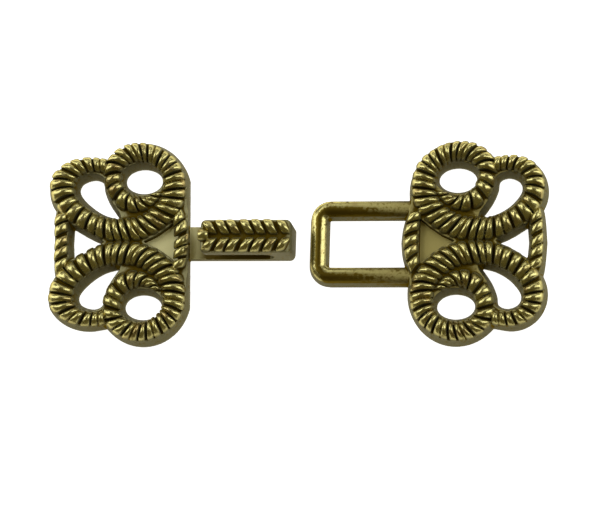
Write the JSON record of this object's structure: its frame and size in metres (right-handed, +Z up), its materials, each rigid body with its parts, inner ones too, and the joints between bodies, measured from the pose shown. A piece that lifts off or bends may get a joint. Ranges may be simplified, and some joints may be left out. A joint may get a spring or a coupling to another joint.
{
  "type": "two-piece cast hook-and-eye clothing clasp",
  "caption": "Cast openwork hook-and-eye clasp in antique brass, its scroll plates of twisted rope sewn on by their eyelets, laid out unfastened.",
  "frame": {"origin": "on the surface that the clasp lies on, under the middle of its box", "axes": "+X along the clasp from the hook half to the eye half, +Y across it, +Z up from its flat backs"},
  "size_m": [0.0742, 0.031, 0.0068],
  "materials": {
    "antique_brass_hook": "antiqued, dark patina in the hollows, polished crests",
    "antique_brass_eye": "antiqued, dark patina in the hollows, polished crests"
  },
  "bodies": {
    "root": {"hook_half": "antique_brass_hook", "eye_half": "antique_brass_eye"}
  },
  "joints": []
}
